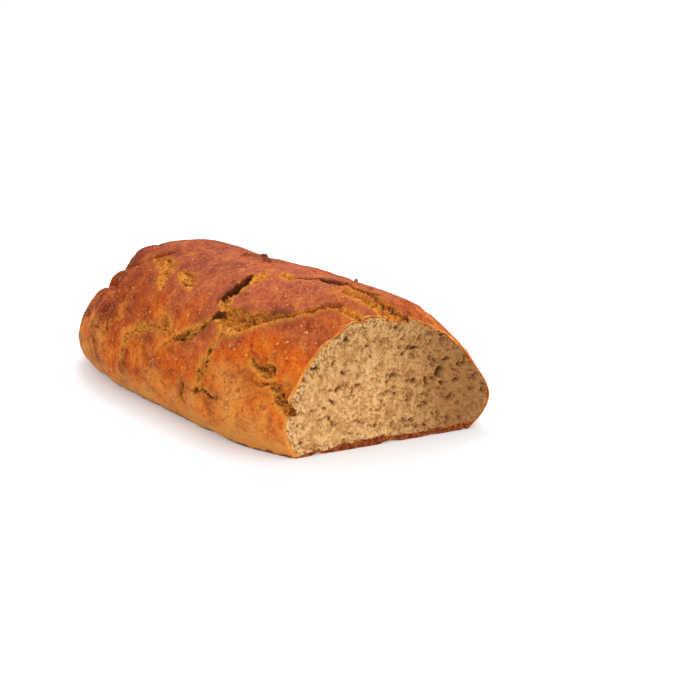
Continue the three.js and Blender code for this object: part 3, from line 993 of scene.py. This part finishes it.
def bread_material():
    """Crust, torn crumb and cut crumb, told apart by the mesh's masks."""
    material, inputs = new_material("bread")
    nodes = Nodes(material)
    ramp, mix, maps = nodes.ramp, nodes.mix, bread_maps(nodes)
    crumb, face, fine, grain = maps.crumb, maps.face, maps.fine, maps.grain

    # the masks' soft edges made crisp and uneven
    uneven = ramp(fine, 0.3, 0.7, -0.3, 0.3)
    torn_share = ramp(nodes.math("ADD", crumb, uneven), 0.42, 0.58)
    dark_share = ramp(nodes.math("ADD", maps.char, uneven), 0.12, 0.7)
    skin = mix(crust_colour(nodes, maps), edge_colour(nodes, maps), face)
    inside = mix(torn_colour(nodes, maps), cut_colour(nodes, maps), face)
    bread = mix(skin, inside, torn_share)
    # a golden hem along the tears, where their edge isn't burnt
    bread = mix(bread, CRUST_GOLD, ramp(crumb, 0.02, 0.3), ramp(crumb, 0.75, 0.45),
                ramp(grain, 0.4, 0.6, 1, 0.25), ramp(maps.burn, 0.4, 0.1, 0, 0.7))
    # dark inside tears, with painted shade in holes, pores and under lips
    bread = mix(bread, mix(CHARRED_AND_SHADE, FACE_PORE_SHADE, face), dark_share, 0.9)

    shine = ramp(grain, 0.3, 0.7, 0.55, 0.78)
    rough = nodes.add("Mix", {0: crumb, 2: shine, 3: 0.92}, data_type="FLOAT")
    rough_share = ramp(crumb, 0, 1, 0.65, 1)
    bump_height = nodes.math("MULTIPLY", nodes.math("ADD", fine, grain), rough_share)
    bump = nodes.add("Bump", {"Strength": 0.8, "Distance": 0.0009, "Height": bump_height})
    inputs["Specular IOR Level"].default_value = 0.04
    for name, output in (("Base Color", bread), ("Roughness", rough), ("Normal", bump)):
        material.node_tree.links.new(output, inputs[name])
    return material


# --- Studio ---
FOCAL_LENGTH = 136.5    # for a sensor 36 mm wide
CAMERA_TURN, CAMERA_RISE = math.radians(56.8), math.radians(13.2)
CAMERA_DISTANCE = 1106
CAMERA_TARGET = Vector((81, 5.5, 31.8))
WORLD_LIGHT = 0.48
FLOOR_SIZE = 14         # metres
FLOOR_COLOUR = (0.64, 0.651, 0.666, 1)
FLOOR_GLOW = 0.31       # a light table keeps the shadow as pale as on a white sweep
WHITE = (1, 1, 1, 1)
# Soft square lamps that face the loaf: name, place and size in metres, power
SOFTBOXES = [
    ("ceiling", (-0.6, 0.7, 2.4), 5.0, 82),
    ("key", (-0.8, 0.5, 1.0), 0.6, 9),
    ("front_fill", (1.2, -0.7, 0.6), 1.0, 10.5),
]
LAMP_TARGET = (0.05, 0, 0.03)


def aim(thing, target):
    """Turns a lamp or camera, which looks along its own -Z, towards a point."""
    thing.rotation_euler = (Vector(target) - thing.location).to_track_quat("-Z", "Y").to_euler()


def add_camera():
    """The camera at the photo's viewing angle and framing."""
    data = bpy.data.cameras.new("camera")
    data.lens = FOCAL_LENGTH
    camera = add_object("camera", data)
    flat = math.cos(CAMERA_RISE)
    back = Vector((math.sin(CAMERA_TURN) * flat, -math.cos(CAMERA_TURN) * flat, math.sin(CAMERA_RISE)))
    camera.location = (CAMERA_TARGET + CAMERA_DISTANCE * back) * MM
    aim(camera, CAMERA_TARGET * MM)
    bpy.context.scene.camera = camera


def add_softbox(name, location, size, power):
    """A square area light that faces the loaf."""
    data = bpy.data.lights.new(name, "AREA")
    data.size = size
    data.energy = power
    lamp = add_object(name, data)
    lamp.location = location
    aim(lamp, LAMP_TARGET)


def add_floor():
    """A wide pale floor that glows a little."""
    bpy.ops.mesh.primitive_plane_add(size=FLOOR_SIZE)
    floor = bpy.context.object
    floor.name = "floor"
    material, inputs = new_material("floor")
    inputs["Base Color"].default_value = FLOOR_COLOUR
    inputs["Emission Color"].default_value = WHITE
    inputs["Emission Strength"].default_value = FLOOR_GLOW
    inputs["Roughness"].default_value = 0.9
    floor.data.materials.append(material)


def add_studio():
    """A pale floor, an even pale surround and soft lights from above."""
    scene = bpy.context.scene
    scene.view_settings.view_transform = "Standard"
    scene.world = bpy.data.worlds.new("surround")
    scene.world.use_nodes = True
    background = scene.world.node_tree.nodes["Background"]
    background.inputs["Color"].default_value = WHITE
    background.inputs["Strength"].default_value = WORLD_LIGHT
    add_floor()
    for softbox in SOFTBOXES:
        add_softbox(*softbox)


add_camera()
add_studio()
loaf = build_loaf()
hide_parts("loaf")
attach(loaf, "root")
